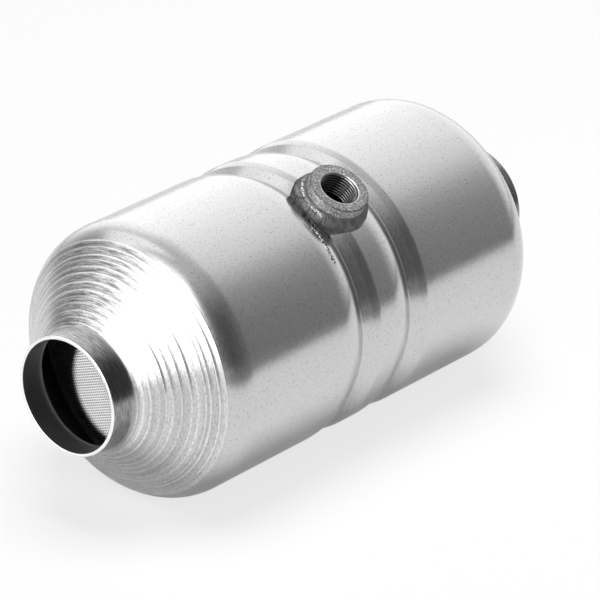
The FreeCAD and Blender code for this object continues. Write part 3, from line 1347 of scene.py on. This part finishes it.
@dataclass
class WeldBead:
    """Fillet weld round the boss, with the ripples that the torch leaves.

    Angles are degrees round the boss, counted from along the flow.
    """

    boss: BossSizes
    shell: ShellSizes
    leg: float = 3.3 * MM
    height: float = 3.6 * MM
    skirt: float = 0.12
    sag: float = 0.25 * MM
    sink: float = 0.15 * MM
    bite: float = 0.6 * MM
    inner_sink: float = 0.4 * MM
    inner_drop: float = 0.3 * MM
    bulge: float = 0.5 * MM
    fast_bulge: float = 0.5 * MM
    rise: float = 0.6
    ripples: int = 74
    ripple_depth: float = 0.3 * MM
    ripple_lean: float = 3.0
    ripple_drift: tuple[Pair, ...] = ((5, 1.6), (11, 1.1))
    unevenness: tuple[Triple, ...] = ((3, 0.07, 1.0), (7, 0.05, 0.0), (17, 0.03, 0.0))
    full_side: float = 145.0
    fast_growth: float = 0.15
    near_side: float = -115.0
    near_loss: float = 0.2
    steps: int = 444
    across: int = 18
    crease: float = 50.0
    spatter: int = 110
    spatter_seed: int = 7
    spatter_x: float = 118.3 * MM
    spatter_drift: float = -1.0 * MM
    spatter_spread: float = 0.45 * MM
    spatter_start: float = 61.0
    spatter_turn: float = -25.0
    spatter_play: float = 0.4
    drop_scale: Pair = (0.3, 0.75)

    def build(self) -> bpy.types.Object:
        """Lay a ring round the boss and shape its section to the shell below it.

        Returns:
            The weld.
        """
        deselect()
        bpy.ops.mesh.primitive_torus_add(
            major_segments=self.steps,
            minor_segments=self.across,
            major_radius=self.boss.radius,
            minor_radius=self.leg / 2,
            location=(0, 0, 0),
        )
        piece = bpy.context.object
        for vertex in piece.data.vertices:
            vertex.co = self.shaped(vertex.co)
        tidy(piece)
        place(piece, self.boss.matrix)
        piece = join("boss_weld_bead", [piece] + self.drops())
        smooth(piece, self.crease)
        return piece

    def seat(self, x: float, y: float) -> float:
        """Height of the shell's skin above the flow axis, at a place beside the boss's axis."""
        radius = self.shell.radius_at(self.boss.x + x)
        return math.sqrt(max(radius**2 - y**2, 0))

    @staticmethod
    def towards(turn: float, degrees: float) -> float:
        """How much a place round the boss lies on one side of it, from 0 to 1."""
        return max(0.0, math.cos(turn - math.radians(degrees))) ** 2

    def shaped(self, spot: Vector) -> Vector:
        """Place of a torus vertex on the finished bead.

        Args:
            spot: The vertex on the plain torus.

        Returns:
            Its place on the bead, in the boss's own frame.
        """
        turn = math.atan2(spot.y, spot.x)
        out = math.hypot(spot.x, spot.y) - self.boss.radius
        climb = (math.sin(math.atan2(spot.z, out)) + 1) / 2
        top = self.boss.seat + self.height
        if out <= 0:
            inner = self.boss.radius - self.bite
            x, y = inner * math.cos(turn), inner * math.sin(turn)
            low = self.seat(x, y) - self.inner_sink
            return Vector((x, y, low + (top - self.inner_drop - low) * climb))
        toward_full_side = self.towards(turn, self.full_side)
        near = self.towards(turn, self.near_side)
        drift = sum(size * math.sin(times * turn) for times, size in self.ripple_drift)
        wave = math.cos(self.ripples * turn + self.ripple_lean * climb + drift)
        ripple = self.ripple_depth * (0.25 + 0.75 * toward_full_side) * wave
        swell = (self.bulge + self.fast_bulge * toward_full_side + ripple) * math.sin(math.pi * climb)
        uneven = 1 + sum(size * math.sin(times * turn + phase) for times, size, phase in self.unevenness)
        leg = self.leg * uneven * (1 + self.fast_growth * toward_full_side - self.near_loss * near)
        reach = self.boss.radius + leg * (1 - max(climb, self.skirt)) / (1 - self.skirt) + swell
        x, y = reach * math.cos(turn), reach * math.sin(turn)
        seat = self.seat(x, y) - self.sink
        low = max(seat, math.sqrt((self.shell.body - self.sag) ** 2 - y**2))
        if climb < self.skirt:
            return Vector((x, y, seat + (low - seat) * climb / self.skirt))
        share = (climb - self.skirt) / (1 - self.skirt)
        return Vector((x, y, low + (top - low) * share + swell * self.rise))

    def drops(self) -> list[bpy.types.Object]:
        """Drops of spatter in a line round the shell, in front of the first groove.

        Returns:
            The drops.
        """
        chance = random.Random(self.spatter_seed)
        first = self.drop()
        made = []
        for i in range(self.spatter):
            share = i / self.spatter
            play = chance.uniform(-self.spatter_play, self.spatter_play)
            turn = math.radians(self.spatter_start + self.spatter_turn * share + play)
            x = self.spatter_x + self.spatter_drift * share + chance.gauss(0, self.spatter_spread)
            outwards = Vector((0, -math.cos(turn), math.sin(turn)))
            spot = outwards * self.shell.radius_at(x) + Vector((x, 0, 0))
            size = chance.uniform(*self.drop_scale)
            activate(first)
            bpy.ops.object.duplicate()
            copy = bpy.context.object
            facing = outwards.to_track_quat("Z", "X").to_matrix().to_4x4()
            place(copy, Matrix.Translation(spot) @ facing @ Matrix.Scale(size, 4))
            made.append(copy)
        bpy.data.objects.remove(first)
        return made

    def drop(self) -> bpy.types.Object:
        """One flattened, lumpy drop of spatter with a radius of a millimetre.

        Returns:
            The drop.
        """
        deselect()
        bpy.ops.mesh.primitive_ico_sphere_add(subdivisions=2, radius=MM, location=(0, 0, 0))
        piece = bpy.context.object
        with editing():
            bpy.ops.transform.resize(value=(1.0, 0.8, 0.65))
            bpy.ops.transform.vertex_random(offset=0.12 * MM, seed=3)
        return piece

    def dress(self, piece: bpy.types.Object) -> None:
        """Give the weld its finish."""
        coat(piece, WeldMetal().material(self.boss))


# Studio


@dataclass(frozen=True)
class Lamp:
    """Soft disc lamp that doesn't show in the metal."""

    name: str
    at: Triple
    size: float
    watts: float

    def hang(self, target: Triple) -> bpy.types.Object:
        """Hang the lamp in its place.

        Args:
            target: Place that it faces.

        Returns:
            The lamp's object.
        """
        light = bpy.data.lights.new(self.name, "AREA")
        light.shape = "DISK"
        light.size = self.size
        light.energy = self.watts
        holder = bpy.data.objects.new(self.name, light)
        bpy.context.scene.collection.objects.link(holder)
        holder.location = self.at
        aim = Vector(target) - holder.location
        holder.rotation_euler = aim.to_track_quat("-Z", "Y").to_euler()
        holder.visible_glossy = False
        return holder


@dataclass
class Studio:
    """Camera, floor, lamps, and the dome and table edge that the metal mirrors."""

    camera_at: Triple = (-1.1609, -1.1246, 0.7901)
    right: Triple = (0.65024, -0.75973, 0.0)
    up: Triple = (0.31838, 0.27250, 0.90796)
    lens: float = 252.86
    middle: Triple = (0.14, 0.0, 0.0)
    mouth: Triple = (0.0, 0.0, 0.0)
    lamps: tuple[Lamp, ...] = (
        Lamp("overhead", (0.2, -0.1, 2.2), 1.6, 50),
        Lamp("front_fill", (0.0, -1.7, 0.8), 1.4, 5),
    )
    mouth_lamp: Lamp = Lamp("through_mouth", (-1.674, -0.674, 0.862), 0.16, 330)
    surroundings: float = 0.2
    floor_size: float = 12.0
    floor_gap: float = 0.1 * MM
    floor_shade: float = 0.86
    floor_seen: float = 0.74
    floor_mirrored: float = 0.18
    table_left: float = -0.45
    table_edge: float = -0.39
    table_front_size: Pair = (3.5, 3.0)
    table_front_tone: float = 0.22
    dome_radius: float = 5.0
    zenith: float = 0.68
    zenith_rise: Pair = (35, 80)
    window: float = 0.8
    window_left: Pair = (0.70, 0.73)
    window_right: Pair = (0.81, 0.85)
    window_rise: Pair = (29, 38)
    tones: tuple[Pair, ...] = (
        (-180, 4.0), (-149, 4.0), (-142, 1.9), (-135, 0.5), (-125, 0.15), (-100, 0.09), (-75, 0.12),
        (-48, 0.21), (-33, 0.42), (-15, 1.0), (10, 1.3), (30, 1.42), (45, 1.6), (62, 1.4), (76, 0.78),
        (92, 0.38), (106, 0.52), (120, 1.0), (138, 1.6), (150, 2.6), (160, 4.0), (180, 4.0),
    )

    def build(self) -> None:
        """Set up the whole studio."""
        self.camera()
        self.world()
        self.floor()
        self.dome()
        self.table_front()
        for lamp in self.lamps:
            lamp.hang(self.middle)
        bpy.context.scene.view_settings.view_transform = "Standard"

    def camera(self) -> None:
        """Long-lens camera at the photograph's viewing angle."""
        right, up = Vector(self.right), Vector(self.up)
        data = bpy.data.cameras.new("long_lens")
        data.lens = self.lens
        data.sensor_width = 36
        data.clip_start = 0.05
        data.clip_end = 50
        camera = bpy.data.objects.new("long_lens", data)
        bpy.context.scene.collection.objects.link(camera)
        turned = Matrix((right, up, right.cross(up))).transposed().to_4x4()
        camera.matrix_world = Matrix.Translation(self.camera_at) @ turned
        bpy.context.scene.camera = camera

    def world(self) -> None:
        """Surroundings that are white to the camera, mirrors and glass, and softer for plain light."""
        world = bpy.data.worlds.new("studio")
        bpy.context.scene.world = world
        paint = Paint(world.name, world)
        soft, white = (
            paint.node("ShaderNodeBackground", {}, {"Color": (1, 1, 1, 1), "Strength": strength})
            for strength in (self.surroundings, 1.0)
        )
        mixed = paint.node("ShaderNodeMixShader", {}, {0: paint.seen(1, 1), 1: soft, 2: white})
        paint.lead_out(mixed, "ShaderNodeOutputWorld")

    def floor(self) -> None:
        """Plain pale floor under the shell, partly white to the camera and a little so to mirrors."""
        low, high = CAD_BOX
        deselect()
        under = ((low.x + high.x) / 2, 0, low.z - self.floor_gap)
        bpy.ops.mesh.primitive_plane_add(size=self.floor_size, location=under)
        piece = bpy.context.object
        piece.name = "floor"
        paint = Paint("pale_floor")
        shade = self.floor_shade + 0.01 * paint.noise(paint.place(), 0.2, detail=2)
        matt = paint.node("ShaderNodeBsdfDiffuse", {}, {"Color": paint.grey(shade)}, "BSDF")
        seen = paint.seen(self.floor_seen, self.floor_mirrored)
        white = paint.glow((1, 1, 1, 1))
        paint.lead_out(paint.node("ShaderNodeMixShader", {}, {0: seen, 1: matt, 2: white}))
        coat(piece, paint.owner)

    def card(self, piece: bpy.types.Object, name: str, paint: Paint, colour: "Wire | tuple") -> None:
        """Make an object a glowing card that only the metal's reflections show.

        Args:
            piece: The card's mesh.
            name: Its name.
            paint: The card's node tree.
            colour: Its light's colour and level.
        """
        piece.name = name
        paint.lead_out(paint.glow(colour))
        coat(piece, paint.owner)
        piece.visible_camera = False
        piece.visible_diffuse = False
        piece.visible_shadow = False
        piece.visible_transmission = False

    def dome(self) -> None:
        """Dome of pale and dark cloths round the table, with a window, as the metal mirrors them."""
        deselect()
        bpy.ops.mesh.primitive_uv_sphere_add(
            segments=64, ring_count=32, radius=self.dome_radius, location=(0, 0, 0)
        )
        piece = bpy.context.object
        paint = Paint("studio_dome")
        at = paint.place()
        turn = paint.coordinate(at, "Y").math("ARCTAN2", paint.coordinate(at, "X")) / FULL_TURN + 0.5
        height = (paint.coordinate(at, "Z") / self.dome_radius).math("ARCSINE")
        brightest = max(tone for _, tone in self.tones)
        stops = [(degrees / 360 + 0.5, tone / brightest) for degrees, tone in self.tones]
        ramp = paint.node("ShaderNodeValToRGB", {"stops": stops}, {0: turn})
        over = height.span(*(math.radians(degrees) for degrees in self.zenith_rise))
        window = turn.span(*self.window_left) * turn.fall(*self.window_right)
        window = window * height.span(*(math.radians(degrees) for degrees in self.window_rise))
        level = ramp * brightest * (1 - over) + self.zenith * over + self.window * window
        self.card(piece, "dome", paint, paint.tinted(level, (1, 1, 1)))

    def table_front(self) -> None:
        """Dark space past the front edge of the white table, for the reflections."""
        deselect()
        wide, deep = self.table_front_size
        middle = (wide / 2 + self.table_left, self.table_edge - deep / 2, CAD_BOX[0].z + 0.5 * MM)
        bpy.ops.mesh.primitive_plane_add(size=1, location=middle)
        strip = bpy.context.object
        strip.scale = (wide, deep, 1)
        settle(strip)
        tone = self.table_front_tone
        self.card(strip, "table_front", Paint("dark_table_front"), (tone, tone, tone, 1))

    def light_brick(self, brick: bpy.types.Object) -> None:
        """Shine a narrow lamp through the inlet's mouth on the front brick alone.

        Args:
            brick: The front brick.
        """
        holder = self.mouth_lamp.hang(self.mouth)
        lit = bpy.data.collections.new("lit_through_mouth")
        lit.objects.link(brick)
        holder.light_linking.receiver_collection = lit


def carry(piece: bpy.types.Object, node: str) -> None:
    """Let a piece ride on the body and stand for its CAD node.

    Args:
        piece: The finished piece.
        node: CAD node that it replaces.
    """
    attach(piece, ROOT)
    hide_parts(node)


def show(maker: SpunShell | Brick | SensorBoss | WeldBead, node: str) -> bpy.types.Object:
    """Build a piece, dress it, let it ride and report it.

    Args:
        maker: The piece's class with its sizes.
        node: CAD node that it replaces.

    Returns:
        The finished piece.
    """
    piece = maker.build()
    maker.dress(piece)
    carry(piece, node)
    log.info("%s stands for %s with %d faces", piece.name, node, len(piece.data.polygons))
    return piece


def main() -> None:
    """Build and dress every piece, and set up the studio."""
    logging.basicConfig(level=logging.INFO, format="%(name)s %(message)s")
    low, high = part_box("shell")
    sizes = ShellSizes(length=high.x - low.x, body=(high.z - low.z) / 2)
    boss = BossSizes()
    studio = Studio()
    studio.build()

    show(SpunShell(sizes, boss), "shell")

    bricks = (("front_brick", "front_substrate"), ("rear_brick", "rear_substrate"))
    ceramic = CoatedCeramic().material([end.x for _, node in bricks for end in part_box(node)])
    for name, node in bricks:
        brick = show(Brick(name, node, ceramic), node)
        if node == "front_substrate":
            studio.light_brick(brick)

    show(SensorBoss(boss), "sensor_boss")
    show(WeldBead(boss, sizes), "boss_weld")

    fibre = FibreMat().material()
    for node in ("front_mat", "rear_mat"):
        coat(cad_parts[node], fibre)
        log.info("%s keeps its solid", node)


if __name__ == "__main__":
    main()
